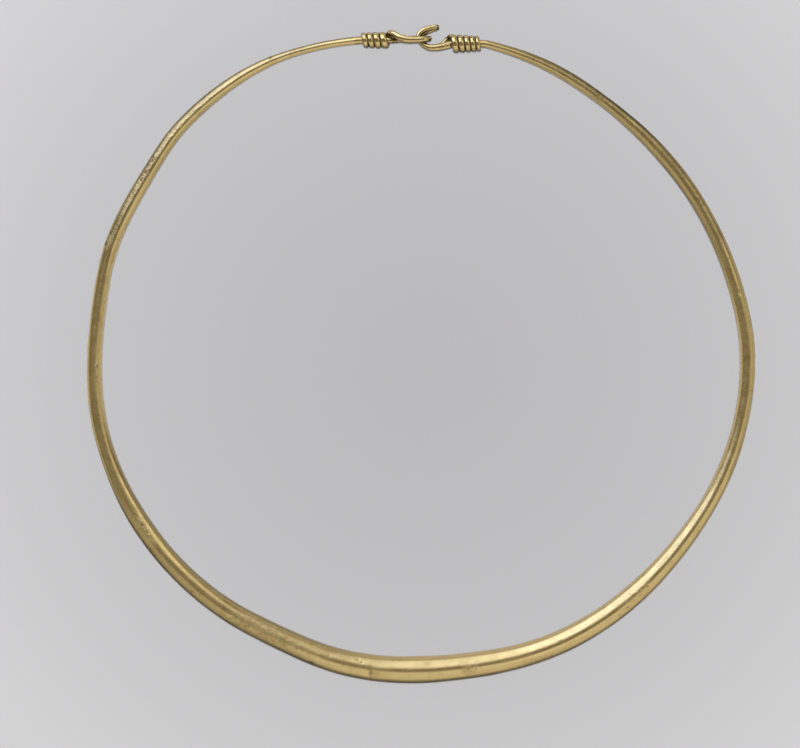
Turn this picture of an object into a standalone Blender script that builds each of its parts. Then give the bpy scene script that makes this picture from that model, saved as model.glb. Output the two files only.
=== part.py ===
"""A solid gold neck ring, made from one bar, that closes with a hook and an eye.

The bar is thickest at the front. Both ends are drawn out to wire, doubled back and wound round their own
shanks: the left end leaves an open loop, the eye, and the right end a pinched double wire, the hook.

The ring lies flat on a table at z = 0. X runs to the right, Y from the thick front to the closure and Z up,
and the origin is the middle of the ground that the ring covers. Lengths are in metres.
"""

import bmesh
import bpy
import numpy as np

# The hoop, along the middle line of the bar
RING_WIDTH = 0.2264
RING_DEPTH = 0.2187
HAND_BEND = 0.0042
SHANK_ANGLE = 168.0

# The bar
FRONT_THICKNESS = 0.00932
SIDE_THICKNESS = 0.0049
SHANK_THICKNESS = 0.00263
WORN_DEPTH = 0.00016

# Where the two windings begin: from the middle to each side, and in from the ring's far side
EYE_WINDING_X = 0.0109
EYE_WINDING_IN = 0.0002
HOOK_WINDING_X = 0.0113
HOOK_WINDING_IN = 0.0015

# The eye, on the left end
EYE_WIRE = 0.00175
EYE_ROOT = 0.00196
EYE_REACH = 0.0031
EYE_TURNS = 4.0
EYE_WINDING_WIRE = 0.00184
EYE_WIRE_END = 0.00122
EYE_WINDING_SPREAD = 1.15
EYE_TURN_CLEARANCE = 0.00045

# The hook, on the right end
HOOK_WIRE = 0.00155
HOOK_ROOT = 0.0024
HOOK_TIP = 0.00132
HOOK_BELLY = 0.00195
HOOK_REACH = 0.0007
HOOK_MOUTH = 0.0073
HOOK_ARM = 0.0054
HOOK_LEAD_TURN = 0.07
HOOK_TURNS = 4.55
HOOK_WINDING_WIRE = 0.00194
HOOK_WIRE_END = 0.00128
HOOK_WINDING_SPREAD = 1.04
HOOK_TURN_CLEARANCE = 0.00032
PINCH_LEAN = 15.0

# Room between one stretch of the bar and the next, and below the eye
WINDING_CLEARANCE = 0.0001
STRAND_CLEARANCE = 0.00006
LINK_CLEARANCE = 0.0002
TABLE_CLEARANCE = 0.0001

# Facets: corners round the bar and the wire, and stations along each stretch
BAR_SIDES = 20
WIRE_SIDES = 10
HOOP_STATIONS = 97
SHANK_STATIONS = 4
STATIONS_A_TURN = 16
ROUTE_STEPS = 2
NECK_STEPS = 3

# Hand-bent wander of the hoop off its ellipse: degrees from the front, outwards as a share of HAND_BEND
WANDER = (
    (-168, 0.45), (-162, 0.70), (-152, 1.02), (-140, 0.94), (-132, 0.75), (-124, 0.33), (-108, 0.14),
    (-100, -0.10), (-76, 0.17), (-52, 0.16), (-38, 0.02), (-28, -0.17), (-14, 0.03), (8, -0.15),
    (24, 0.10), (56, -0.07), (74, 0.08), (92, -0.02), (104, -0.37), (120, -0.61), (144, -0.52),
    (156, -0.12), (168, 0.16),
)

# How the bar swells: degrees from the front, then -1 for the shank, 0 for the sides and 1 for the front
SWELL = (
    (-168, -1.0), (-157, -0.95), (-151, -0.70), (-145, -0.36), (-134, -0.20), (-120, 0.0), (-100, 0.0),
    (-84, 0.08), (-72, 0.12), (-60, 0.36), (-44, 0.50), (-24, 0.72), (-8, 0.93), (0, 1.0), (8, 0.90),
    (24, 0.71), (38, 0.58), (50, 0.38), (64, 0.16), (78, 0.06), (96, 0.05), (112, -0.03), (134, -0.13),
    (142, -0.38), (153, -0.48), (160, -0.70), (165, -0.92), (168, -1.0),
)

GOLD_COLOUR = (0.62, 0.43, 0.15, 1.0)
GOLD_ROUGHNESS = 0.32


def winding_radius(core, wire):
    """How far the middle of a wound wire lies from the middle of its shank."""
    return core / 2 + wire / 2 + WINDING_CLEARANCE


# Heights and places that follow from the sizes
LEAN = np.radians(PINCH_LEAN)
PINCH = HOOK_WIRE + STRAND_CLEARANCE
PINCH_DROP = PINCH * np.cos(LEAN)
PINCH_SHIFT = PINCH * np.sin(LEAN)
EYE_RADIUS = PINCH_DROP / 2 + HOOK_WIRE / 2 + LINK_CLEARANCE + EYE_WIRE / 2
LINK_Z = EYE_RADIUS + EYE_WIRE / 2 + TABLE_CLEARANCE
EYE_SIDE = winding_radius(EYE_ROOT, EYE_WINDING_WIRE)
HOOK_SIDE = winding_radius(HOOK_ROOT, HOOK_WINDING_WIRE)
FRONT_Z = FRONT_THICKNESS / 2 - WORN_DEPTH
FAR_Y = RING_DEPTH / 2
EYE_AXIS = np.array([-EYE_WINDING_X, FAR_Y - EYE_WINDING_IN, EYE_SIDE + EYE_WINDING_WIRE / 2])
HOOK_AXIS = np.array([HOOK_WINDING_X, FAR_Y - HOOK_WINDING_IN, HOOK_SIDE + HOOK_WINDING_WIRE / 2])


def smooth(knots, values, at):
    """Reads a smooth curve through values: a cubic on each span, with its slopes from the neighbours."""
    knots = np.asarray(knots, float)
    values = np.asarray(values, float)
    slopes = np.gradient(values, knots, axis=0)
    span = np.clip(np.searchsorted(knots, at, side="right") - 1, 0, len(knots) - 2)
    length = knots[span + 1] - knots[span]
    t = (at - knots[span]) / length
    if values.ndim > 1:
        length = length[:, None]
        t = t[:, None]
    return (
        values[span] * (1 + 2 * t) * (1 - t) ** 2
        + values[span + 1] * t * t * (3 - 2 * t)
        + slopes[span] * length * t * (1 - t) ** 2
        - slopes[span + 1] * length * t * t * (1 - t)
    )


def reach_along(points):
    """The length of the line from its first point to each of its points."""
    return np.concatenate([[0.0], np.cumsum(np.linalg.norm(np.diff(points, axis=0), axis=1))])


def through(points, steps, before, after):
    """Follows a smooth curve through points, `steps` stations to a span, and leaves out its two ends.

    The points before and after are on the neighbouring stretches and only set the directions at the ends.
    """
    line = np.vstack([before, points, after])
    knots = reach_along(line)
    at = [np.linspace(a, b, steps + 1)[:-1] for a, b in zip(knots[1:-2], knots[2:-1])]
    return smooth(knots, line, np.concatenate(at)[1:])


def spread_evenly(points, sizes):
    """Spreads a few sizes evenly along a run of points, by the length of the run."""
    reach = reach_along(points)
    return np.interp(reach / reach[-1], np.linspace(0.0, 1.0, len(sizes)), sizes)


def winding(axis, side, turns, core, wire, spread, clearance):
    """Winds a wire round a straight shank, right-handed, away from the closure.

    After t turns the wire lies at the angle 2 pi t round the shank, and has moved on by the sum of its
    own widths and the clearance between turns. core and wire are the thicknesses at the two ends, and
    turns are the first and last values of t.
    """
    t = np.linspace(*turns, round((turns[1] - turns[0]) * STATIONS_A_TURN) + 1)
    wire_here = wire[0] + (wire[1] - wire[0]) * t / turns[1]
    mean_width = spread * (wire[0] + wire_here) / 2
    shift = t * (mean_width + clearance)
    core_here = core[0] + (core[1] - core[0]) * shift / shift[-1]
    radius = winding_radius(core_here, wire_here)
    angle = side * 2 * np.pi * t
    offset = np.column_stack([side * shift, radius * np.cos(angle), radius * np.sin(angle)])
    return axis + offset, wire_here


def shank(axis, side, length, core):
    """The straight shank inside a winding, from its closure end outwards."""
    share = np.linspace(0.0, 1.0, SHANK_STATIONS)
    points = axis + side * length * np.outer(share, (1.0, 0.0, 0.0))
    return points, core[0] + (core[1] - core[0]) * share


def hoop():
    """The bar: an ellipse that wanders by hand, from the left shank round the front to the right one."""
    degrees = np.linspace(-SHANK_ANGLE, SHANK_ANGLE, HOOP_STATIONS)
    wander = smooth(*zip(*WANDER), degrees) * HAND_BEND
    swell = smooth(*zip(*SWELL), degrees)
    angle = np.radians(degrees)
    a, b = RING_WIDTH / 2, RING_DEPTH / 2
    radius = a * b / np.hypot(b * np.sin(angle), a * np.cos(angle)) + wander
    x, y = radius * np.sin(angle), -radius * np.cos(angle)
    far_z = np.where(x < 0, EYE_AXIS[2], HOOK_AXIS[2])
    z = FRONT_Z + (far_z - FRONT_Z) * (y + b) / (2 * b)
    thickness = np.interp(swell, (-1.0, 0.0, 1.0), (SHANK_THICKNESS, SIDE_THICKNESS, FRONT_THICKNESS))
    return np.column_stack([x, y, z]), thickness


def eye_route():
    """The eye, from where the wire leaves its winding, over the top, round the end and back below.

    The points are shares of the eye's length, of the winding's radius across, and of the rise or fall
    from the shank to the strand.
    """
    high, low = LINK_Z + EYE_RADIUS, LINK_Z - EYE_RADIUS
    start_x, start_y, start_z = EYE_AXIS
    end_x = EYE_REACH - EYE_RADIUS
    over = [
        (0.04, 1.16, 0.31), (0.14, 0.86, 0.64), (0.26, 0.36, 0.86), (0.40, 0.08, 0.97), (0.58, 0.02, 1.0),
        (0.78, 0.05, 1.0),
    ]
    under = [(0.74, 0.39, 1.0), (0.50, 0.21, 0.78), (0.26, 0.06, 0.36), (0.08, 0.0, 0.05)]
    route = [(x, y, start_z + rise * (high - start_z)) for x, y, rise in over]
    for turn in np.radians((0, 30, 60, 90, 120, 150, 180)):
        x = 1.0 + EYE_RADIUS * np.sin(turn) / (end_x - start_x)
        route.append((x, 0.18 + 0.30 * turn / np.pi, LINK_Z + EYE_RADIUS * np.cos(turn)))
    route += [(x, y, start_z + fall * (low - start_z)) for x, y, fall in under]
    return np.array(route) * (end_x - start_x, EYE_SIDE, 1.0) + (start_x, start_y, 0.0)


def hook_route():
    """The hook: the upper strand from the shank round the bend to the tip, and the lower one back again.

    The points are shares of the hook's length or of its arm's, of its mouth across, and of the rise from
    the shank. The lower strand is pinched against the upper one and leans to the inner side. Home is the
    way back to the winding: shares of the hook's length, then of the winding's radius across and up from
    the shank, then of the fall to the lower strand. Returns the points and which one is the tip's nose.
    """
    start_x, start_y, start_z = HOOK_AXIS
    length = start_x + HOOK_REACH
    low_y = start_y - 0.2 * HOOK_MOUTH
    high = LINK_Z + PINCH_DROP / 2
    root = [
        (0.84, 0.125, 0.34), (0.67, 0.05, 0.78), (0.50, 0.005, 1.08), (0.345, 0.0, 1.16),
        (0.21, 0.075, 1.08),
    ]
    bend = [(0.095, 0.21, 1.0), (0.022, 0.36, 1.0), (0.0, 0.525, 1.0), (0.038, 0.675, 1.0)]
    arm = [(0.24, 0.805, 1.0), (0.52, 0.905, 1.0), (0.79, 0.965, 1.0), (1.0, 0.99, 1.0)]
    upper = np.array(root + bend + arm)
    upper[: len(root + bend), 0] *= length
    upper[len(root + bend):, 0] *= HOOK_ARM
    upper = upper * (1.0, HOOK_MOUTH, high - start_z) + (-HOOK_REACH, low_y, start_z)

    ahead = np.gradient(upper[:, :2], axis=0)
    ahead /= np.linalg.norm(ahead, axis=1)[:, None]
    inward = np.column_stack([ahead[:, 1], -ahead[:, 0]])
    lower = upper - (0.0, 0.0, PINCH_DROP)
    lower[:, :2] += PINCH_SHIFT * inward
    lower = lower[len(root):][::-1]

    middle, half = (upper[-1] + lower[0]) / 2, (upper[-1] - lower[0]) / 2
    nose = np.append(ahead[-1], 0.0) * PINCH / 2
    tip_turns = np.radians((30, 60, 90, 120, 150))
    tip = [middle + half * np.cos(turn) + nose * np.sin(turn) for turn in tip_turns]

    fall = LINK_Z - PINCH_DROP / 2 - start_z
    home = [
        (0.24, -0.44, -0.05, 1.0), (0.38, -0.46, -0.10, 1.0), (0.52, -0.38, -0.16, 1.0),
        (0.65, -0.14, -0.26, 0.9), (0.76, 0.34, -0.38, 0.6), (0.86, 0.80, -0.46, 0.2),
        (0.94, 1.07, -0.16, 0.0),
    ]
    home = [
        (x * length - HOOK_REACH, start_y + y * HOOK_SIDE, start_z + z * HOOK_SIDE + share * fall)
        for x, y, z, share in home
    ]
    return np.vstack([upper, tip, lower, home]), len(upper) + len(tip) // 2


def centre_line():
    """The middle line of the whole bar from wire end to wire end: points, thickness and winding spread."""
    eye_core, eye_wire = (EYE_ROOT, SHANK_THICKNESS), (EYE_WINDING_WIRE, EYE_WIRE_END)
    hook_core, hook_wire = (HOOK_ROOT, SHANK_THICKNESS), (HOOK_WINDING_WIRE, HOOK_WIRE_END)
    eye_turns = (0.0, EYE_TURNS)
    hook_turns = (HOOK_LEAD_TURN, HOOK_TURNS)
    eye_coil, eye_coil_size = winding(
        EYE_AXIS, -1, eye_turns, eye_core, eye_wire, EYE_WINDING_SPREAD, EYE_TURN_CLEARANCE)
    hook_coil, hook_coil_size = winding(
        HOOK_AXIS, 1, hook_turns, hook_core, hook_wire, HOOK_WINDING_SPREAD, HOOK_TURN_CLEARANCE)
    eye_shank, eye_shank_size = shank(EYE_AXIS, -1, EYE_AXIS[0] - eye_coil[-1, 0], eye_core)
    hook_shank, hook_shank_size = shank(HOOK_AXIS, 1, hook_coil[-1, 0] - HOOK_AXIS[0], hook_core)
    bar, bar_size = hoop()

    eye_points = np.vstack([eye_coil[0], eye_route(), eye_shank[0]])
    eye = through(eye_points, ROUTE_STEPS, eye_coil[1], eye_shank[1])
    eye_size = spread_evenly(eye, (EYE_WINDING_WIRE, EYE_WIRE, EYE_WIRE, EYE_WIRE, EYE_WIRE, EYE_ROOT))
    route, nose = hook_route()
    hook_points = np.vstack([hook_shank[0], route, hook_coil[0]])
    hook = through(hook_points, ROUTE_STEPS, hook_shank[1], hook_coil[1])
    out, home = np.split(hook, [ROUTE_STEPS * (nose + 1)])
    hook_size = np.concatenate([
        spread_evenly(out, (HOOK_ROOT, HOOK_BELLY, HOOK_WIRE, HOOK_WIRE, HOOK_TIP)),
        spread_evenly(home, (HOOK_TIP, HOOK_WIRE, HOOK_WIRE, HOOK_WIRE, HOOK_WINDING_WIRE)),
    ])
    eye_neck = through(np.vstack([eye_shank[-1], bar[0]]), NECK_STEPS, eye_shank[-2], bar[1])
    hook_neck = through(np.vstack([bar[-1], hook_shank[-1]]), NECK_STEPS, bar[-2], hook_shank[-2])

    stretches = [
        (eye_coil[::-1], eye_coil_size[::-1], EYE_WINDING_SPREAD),
        (eye, eye_size, 1.0),
        (eye_shank, eye_shank_size, 1.0),
        (eye_neck, np.full(len(eye_neck), SHANK_THICKNESS), 1.0),
        (bar, bar_size, 1.0),
        (hook_neck, np.full(len(hook_neck), SHANK_THICKNESS), 1.0),
        (hook_shank[::-1], hook_shank_size[::-1], 1.0),
        (hook, hook_size, 1.0),
        (hook_coil, hook_coil_size, HOOK_WINDING_SPREAD),
    ]
    points = np.vstack([p for p, _, _ in stretches])
    thickness = np.concatenate([s for _, s, _ in stretches])
    spread = np.concatenate([np.full(len(p), w) for p, _, w in stretches])
    is_bar = np.concatenate([np.full(len(p), p is bar) for p, _, _ in stretches])
    return points, thickness, spread, is_bar


def carried_frames(points, start):
    """Carries a frame along the line without twist, both ways from the front, where it stands upright."""
    ahead = np.gradient(points, axis=0)
    ahead /= np.linalg.norm(ahead, axis=1)[:, None]
    outward = np.zeros_like(points)
    outward[start] = (0.0, -1.0, 0.0)
    for order in (range(start + 1, len(points)), range(start - 1, -1, -1)):
        last = outward[start]
        for i in order:
            last = last - np.dot(last, ahead[i]) * ahead[i]
            last = last / np.linalg.norm(last)
            outward[i] = last
    upward = np.cross(ahead, outward)
    upward *= np.sign(upward[start][2])
    return ahead, outward, upward


def section(half_chord, outward, upward, thickness, sides):
    """One ring of corners: a round with a flat of half_chord, in radians, to each side of its underside."""
    turn = np.linspace(half_chord, 2 * np.pi - half_chord, sides) - np.pi / 2
    return thickness / 2 * (np.cos(turn)[:, None] * outward + np.sin(turn)[:, None] * upward)


def rings_along(points, thickness, spread, is_bar):
    """The rings of corners round the line.

    The bar is worn flat where its underside would dip under the table. A wound wire is wider along its
    shank than it is thick, by the spread.
    """
    front = int(np.flatnonzero(is_bar)[0]) + HOOP_STATIONS // 2
    ahead, outward, upward = carried_frames(points, front)
    rings = []
    for i, point in enumerate(points):
        sides = BAR_SIDES if is_bar[i] else WIRE_SIDES
        half_chord = np.pi / sides
        if is_bar[i] and point[2] < thickness[i] / 2 * np.cos(half_chord):
            half_chord = np.arccos(point[2] / (thickness[i] / 2))
        corners = section(half_chord, outward[i], upward[i], thickness[i], sides)
        if spread[i] != 1.0:
            wide = np.array([1.0, 0.0, 0.0]) - ahead[i, 0] * ahead[i]
            wide /= np.linalg.norm(wide)
            corners += (spread[i] - 1.0) * (corners @ wide)[:, None] * wide
        rings.append(point + corners)
    return rings


def skin(name, rings, material):
    """Joins rings of corners into one closed skin; a ring of twice the corners meets every second one."""
    mesh = bmesh.new()
    loops = [[mesh.verts.new(corner) for corner in ring] for ring in rings]
    for near, far in zip(loops, loops[1:]):
        many, few = (near, far) if len(near) >= len(far) else (far, near)
        step = len(many) // len(few)
        for i in range(len(few)):
            fan = [many[(step * i + k) % len(many)] for k in range(step + 1)]
            for a, b in zip(fan[:-2], fan[1:-1]):
                mesh.faces.new((few[i], a, b))
            mesh.faces.new((few[i], fan[-2], fan[-1], few[(i + 1) % len(few)]))
    mesh.faces.new(loops[0])
    mesh.faces.new(loops[-1])
    bmesh.ops.recalc_face_normals(mesh, faces=mesh.faces)
    data = bpy.data.meshes.new(name)
    mesh.to_mesh(data)
    mesh.free()
    data.materials.append(material)
    data.shade_smooth()
    piece = bpy.data.objects.new(name, data)
    bpy.context.collection.objects.link(piece)
    return piece


def gold():
    """Worn, softly polished gold."""
    material = bpy.data.materials.new("gold")
    material.use_nodes = True
    shader = material.node_tree.nodes["Principled BSDF"]
    shader.inputs["Base Color"].default_value = GOLD_COLOUR
    shader.inputs["Metallic"].default_value = 1.0
    shader.inputs["Roughness"].default_value = GOLD_ROUGHNESS
    return material


def build():
    """The whole ring, moved so that the origin is the middle of the ground that it covers."""
    rings = rings_along(*centre_line())
    corners = np.vstack(rings)
    middle = (corners.max(axis=0) + corners.min(axis=0)) / 2
    skin("torc", [ring - (middle[0], middle[1], 0.0) for ring in rings], gold())


for old in list(bpy.data.objects):
    bpy.data.objects.remove(old)
build()
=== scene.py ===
"""The finish of a solid gold neck ring that closes with a hook and an eye, lying on a pale floor.

One skin follows the whole bar, from the end of one wound wire round the thick front to the end of the other.
The hoop and the windings keep the solid's middle line and thicknesses. The skin adds the facets, the
hammering, dents, pits and wear, painted shade on the flanks and underside, the pressed turns, and a closer
shape of the eye's and the hook's strands.
X runs to the right, Y from the thick front to the closure and Z up. Lengths are in metres.
"""

import bpy
import numpy as np
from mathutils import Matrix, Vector


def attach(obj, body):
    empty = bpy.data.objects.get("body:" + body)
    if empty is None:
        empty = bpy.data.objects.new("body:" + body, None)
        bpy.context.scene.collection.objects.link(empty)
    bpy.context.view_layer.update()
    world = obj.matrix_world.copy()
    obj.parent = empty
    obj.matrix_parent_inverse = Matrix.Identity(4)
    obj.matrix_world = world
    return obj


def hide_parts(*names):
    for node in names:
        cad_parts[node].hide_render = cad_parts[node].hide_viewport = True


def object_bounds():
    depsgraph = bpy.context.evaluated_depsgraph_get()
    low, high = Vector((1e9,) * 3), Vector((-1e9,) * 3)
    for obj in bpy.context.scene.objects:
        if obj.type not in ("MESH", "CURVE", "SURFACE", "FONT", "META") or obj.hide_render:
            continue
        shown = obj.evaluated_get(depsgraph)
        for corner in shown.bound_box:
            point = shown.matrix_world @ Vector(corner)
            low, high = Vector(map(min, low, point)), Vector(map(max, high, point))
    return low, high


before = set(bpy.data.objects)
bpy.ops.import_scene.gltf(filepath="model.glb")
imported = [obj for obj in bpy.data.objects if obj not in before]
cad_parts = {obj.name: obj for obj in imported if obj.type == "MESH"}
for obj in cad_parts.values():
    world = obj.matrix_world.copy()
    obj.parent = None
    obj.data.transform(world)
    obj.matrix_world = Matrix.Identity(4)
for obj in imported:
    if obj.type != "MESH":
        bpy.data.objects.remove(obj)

CAD_LOW, CAD_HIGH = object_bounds()

# The hoop, along the middle line of the bar
RING_WIDTH = 0.2264
RING_DEPTH = 0.2187
HAND_BEND = 0.0042
SHANK_ANGLE = 168.0

# The bar
FRONT_THICKNESS = 0.00932
SIDE_THICKNESS = 0.0049
SHANK_THICKNESS = 0.00263
WORN_DEPTH = 0.00016

# Where the two windings begin: from the middle to each side, and in from the ring's far side
EYE_WINDING_X = 0.0109
EYE_WINDING_IN = 0.0002
HOOK_WINDING_X = 0.0113
HOOK_WINDING_IN = 0.0015

# The eye, on the left end. Its elbow is thicker than the solid's, and its strands cross further over.
EYE_WIRE = 0.00175
EYE_ELBOW = 0.0022
EYE_ROOT = 0.00196
EYE_REACH = 0.0031
EYE_TURNS = 4.0
EYE_WINDING_WIRE = 0.00184
EYE_WIRE_END = 0.00122
EYE_WINDING_SPREAD = 1.15
EYE_TURN_CLEARANCE = 0.00045

# The eye's loop, in shares of the winding's radius: its place across where it begins, and how far across it
# moves on its way round
EYE_LOOP_FROM = -0.08
EYE_LOOP_MOVE = 0.58

# The hook, on the right end. Its belly, tip, arm and pinch differ a little from the solid's.
HOOK_WIRE = 0.00155
HOOK_ROOT = 0.0024
HOOK_TIP = 0.00120
HOOK_BELLY = 0.00205
HOOK_REACH = 0.0007
HOOK_MOUTH = 0.0073
HOOK_ARM = 0.0060
HOOK_LEAD_TURN = 0.07
HOOK_TURNS = 4.55
HOOK_WINDING_WIRE = 0.00194
HOOK_WIRE_END = 0.00128
HOOK_WINDING_SPREAD = 1.04
HOOK_TURN_CLEARANCE = 0.00032
PINCH_LEAN = 34.0

# How far across the hook's mouth its shank lies, as a share of the mouth
SHANK_ACROSS = 0.2

# Where along the hook's arm the lean of its two strands begins to ease, and the share left at the tip
EASING_FROM = 0.0030
LEAN_AT_TIP = 0.45

# Room between one stretch of the bar and the next, and below the eye
WINDING_CLEARANCE = 0.0001
STRAND_CLEARANCE = 0.00006
LINK_CLEARANCE = 0.0002
TABLE_CLEARANCE = 0.0001

# How much wider the pressed turns of the windings are than in the solid, as a share of the wire, how far
# their section swells at its four corners, and how broad the strands of the eye and the hook are flattened
EYE_PRESSED = 0.20
HOOK_PRESSED = 0.12
TURN_FULLNESS = 0.09
EYE_BREADTH = 1.14
HOOK_BREADTH = 1.16

# Corners round the bar and the wire, and stations along each stretch
BAR_SIDES = 60
WIRE_SIDES = 30
HOOP_STATIONS = 1241
SHANK_STATIONS = 16
STATIONS_A_TURN = 40
ROUTE_STEPS = 6
NECK_STEPS = 12

# The rounded cut ends of the wires: rings, how far round the dome they go in degrees, and its height as a
# share of the radius
END_RINGS = 5
DOME_TURN = 78.0
DOME_HEIGHT = 0.6

# Hand-bent wander of the hoop off its ellipse: degrees from the front, outwards as a share of HAND_BEND
WANDER = (
    (-168, 0.45), (-162, 0.70), (-152, 1.02), (-140, 0.94), (-132, 0.75), (-124, 0.33), (-108, 0.14),
    (-100, -0.10), (-76, 0.17), (-52, 0.16), (-38, 0.02), (-28, -0.17), (-14, 0.03), (8, -0.15),
    (24, 0.10), (56, -0.07), (74, 0.08), (92, -0.02), (104, -0.37), (120, -0.61), (144, -0.52),
    (156, -0.12), (168, 0.16),
)

# How the bar swells: degrees from the front, then -1 for the shank, 0 for the sides and 1 for the front
SWELL = (
    (-168, -1.0), (-157, -0.95), (-151, -0.70), (-145, -0.36), (-134, -0.20), (-120, 0.0), (-100, 0.0),
    (-84, 0.08), (-72, 0.12), (-60, 0.36), (-44, 0.50), (-24, 0.72), (-8, 0.93), (0, 1.0), (8, 0.90),
    (24, 0.71), (38, 0.58), (50, 0.38), (64, 0.16), (78, 0.06), (96, 0.05), (112, -0.03), (134, -0.13),
    (142, -0.38), (153, -0.48), (160, -0.70), (165, -0.92), (168, -1.0),
)

# Single marks on the bar: degrees from the front, place across (-1 inner edge, 0 top, 1 outer edge), half
# length and half width, depth, and slant off the bar's own direction in degrees
MARKS = (
    (-10.9, -0.42, 0.0005, 0.0004, 0.00014, 0), (-11.6, -0.55, 0.0007, 0.0004, 0.00012, 20),
    (-17.0, -0.30, 0.0004, 0.0008, 0.00012, 8), (-2.6, -0.10, 0.0003, 0.0005, 0.00010, 0),
    (-8.9, 0.25, 0.0008, 0.0024, 0.00010, 5), (-19.5, 0.70, 0.0012, 0.0005, 0.00014, 10),
    (-26.2, 0.10, 0.0018, 0.0005, 0.00006, 32), (-28.6, -0.35, 0.0024, 0.0005, 0.00006, 24),
    (-30.6, -0.12, 0.0020, 0.0006, 0.00008, -28), (-32.4, 0.05, 0.0016, 0.0005, 0.00007, 40),
    (-34.4, -0.20, 0.0020, 0.0006, 0.00006, -15), (-24.0, -0.25, 0.0016, 0.0005, 0.00006, -35),
    (-22.9, 0.05, 0.0004, 0.0003, 0.00017, 0), (-19.0, -0.35, 0.0003, 0.0006, 0.00010, 8),
    (-44.0, 0.55, 0.0006, 0.0005, 0.00012, 0), (-52.0, 0.0, 0.0004, 0.0004, 0.00010, 0),
    (-54.1, -0.12, 0.0004, 0.0004, 0.00016, 0), (-55.6, -0.14, 0.0006, 0.0003, 0.00016, 30),
    (-57.0, -0.13, 0.0005, 0.0004, 0.00015, 0), (-58.6, -0.11, 0.0009, 0.0004, 0.00018, 10),
    (-60.5, -0.05, 0.0006, 0.0004, 0.00014, 40), (-86.0, -0.35, 0.0012, 0.0003, 0.00014, 4),
    (-88.0, -0.55, 0.0009, 0.0004, 0.00016, -8), (-95.0, 0.15, 0.0012, 0.0004, 0.00008, 0),
    (-109.5, 0.82, 0.0007, 0.0006, 0.00024, 0), (-111.5, 0.70, 0.0006, 0.0005, 0.00018, 0),
    (-122.0, 0.25, 0.0004, 0.0004, 0.00018, 0), (-123.6, 0.30, 0.0005, 0.0004, 0.00018, 30),
    (-126.0, 0.35, 0.0008, 0.0004, 0.00014, 0), (-153.2, 0.70, 0.0005, 0.0005, 0.00016, 0),
    (145.6, 0.25, 0.0006, 0.0012, 0.00012, 25), (144.6, -0.05, 0.0004, 0.0012, 0.00010, 15),
    (138.0, -0.30, 0.0010, 0.0004, 0.00008, 0), (44.5, 0.20, 0.0004, 0.0004, 0.00016, 0),
    (42.4, 0.35, 0.0005, 0.0003, 0.00014, 30), (41.2, -0.45, 0.0003, 0.0003, 0.00012, 0),
    (31.5, -0.5, 0.0003, 0.0003, 0.00010, 0), (26.0, -0.15, 0.0007, 0.0004, 0.00010, 0),
    (66.0, 0.30, 0.0009, 0.0003, 0.00008, 12), (101.0, 0.10, 0.0008, 0.0003, 0.00008, -10),
    (37.3, 0.51, 0.00035, 0.0003, 0.00020, 0), (39.4, 0.48, 0.0005, 0.0003, 0.00018, -30),
    (39.7, -0.47, 0.0002, 0.0002, 0.00012, 0), (34.2, -0.45, 0.0003, 0.0002, 0.00010, 0),
    (38.6, 0.40, 0.0004, 0.00025, 0.00012, 20), (29.6, 0.42, 0.0003, 0.0002, 0.00010, 0),
    (8.6, 0.10, 0.0004, 0.0004, 0.00015, 20), (9.4, -0.04, 0.0005, 0.0005, 0.00016, 0),
    (9.1, 0.34, 0.0004, 0.0003, 0.00012, -25), (8.2, 0.45, 0.0003, 0.0003, 0.00012, 0),
    (10.0, 0.22, 0.0005, 0.0003, 0.00013, 30), (-35.8, 0.35, 0.0014, 0.0006, 0.00007, 50),
    (-33.0, 0.42, 0.0012, 0.0006, 0.00007, -55), (-30.0, 0.30, 0.0016, 0.0006, 0.00007, 45),
    (-27.4, 0.38, 0.0012, 0.0005, 0.00007, -50), (-25.2, 0.28, 0.0014, 0.0005, 0.00006, 60),
    (-31.5, -0.40, 0.0015, 0.0005, 0.00006, 50), (-27.0, -0.22, 0.0013, 0.0005, 0.00007, -45),
)

# Roughened and tarnished patches: degrees from the front, place across, half length, half width, how rough
# and how tarnished. The darker tone of the tarnished patches is partly painted shade that dims the gold's
# reflection there.
PATCHES = (
    (-29.0, -0.10, 0.0125, 0.0028, 1.0, 0.10), (-21.0, -0.30, 0.0060, 0.0022, 0.7, 0.0),
    (-57.0, -0.05, 0.0060, 0.0014, 0.6, 0.0), (-46.0, 0.45, 0.0200, 0.0014, 0.35, 0.06),
    (-28.0, 0.50, 0.0160, 0.0014, 0.35, 0.06), (-87.0, -0.45, 0.0120, 0.0009, 0.8, 0.0),
    (-124.5, 0.35, 0.0050, 0.0013, 0.7, 0.0), (-7.6, 0.35, 0.0034, 0.0026, 0.6, 0.0),
    (-131.0, 0.42, 0.0260, 0.0016, 0.42, 0.10), (-152.0, 0.42, 0.0120, 0.0010, 0.30, 0.0),
    (42.0, 0.25, 0.0070, 0.0022, 0.5, 0.0), (145.0, 0.05, 0.0022, 0.0016, 0.9, 0.25),
    (124.0, 0.40, 0.0300, 0.0015, 0.50, 0.48), (146.0, 0.40, 0.0220, 0.0013, 0.50, 0.44),
    (-110.0, 0.75, 0.0040, 0.0012, 0.8, 0.0), (9.1, 0.18, 0.0026, 0.0022, 1.0, 0.0),
    (-121.0, 0.45, 0.0200, 0.0018, 0.32, 0.38), (-158.0, 0.45, 0.0140, 0.0014, 0.2, 0.38),
)

# The low burr round each mark: its height as a share of the depth, and its place and width in half sizes of
# the mark
BURR_HEIGHT = 0.22
BURR_PLACE = 1.7
BURR_WIDTH = 0.5

# How far along the bar a mark and a patch are followed, in half lengths
MARK_ROOM = 5
PATCH_ROOM = 3

# Small pits strewn over the whole bar, with a share of them on its underside
PIT_COUNT = 150
PIT_RANGE = (-160, 160)
PIT_ACROSS = 0.97
PIT_SIZES = (0.00022, 0.00042)
PIT_DEPTHS = (0.00002, 0.00007)
PITS_BELOW = 0.35
PIT_SEED = 5

# An unevenness is a sum of this many waves, and its wavelength is divided by shares within this range
WAVES = 16
WAVE_SHARES = (0.7, 1.4)

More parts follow.
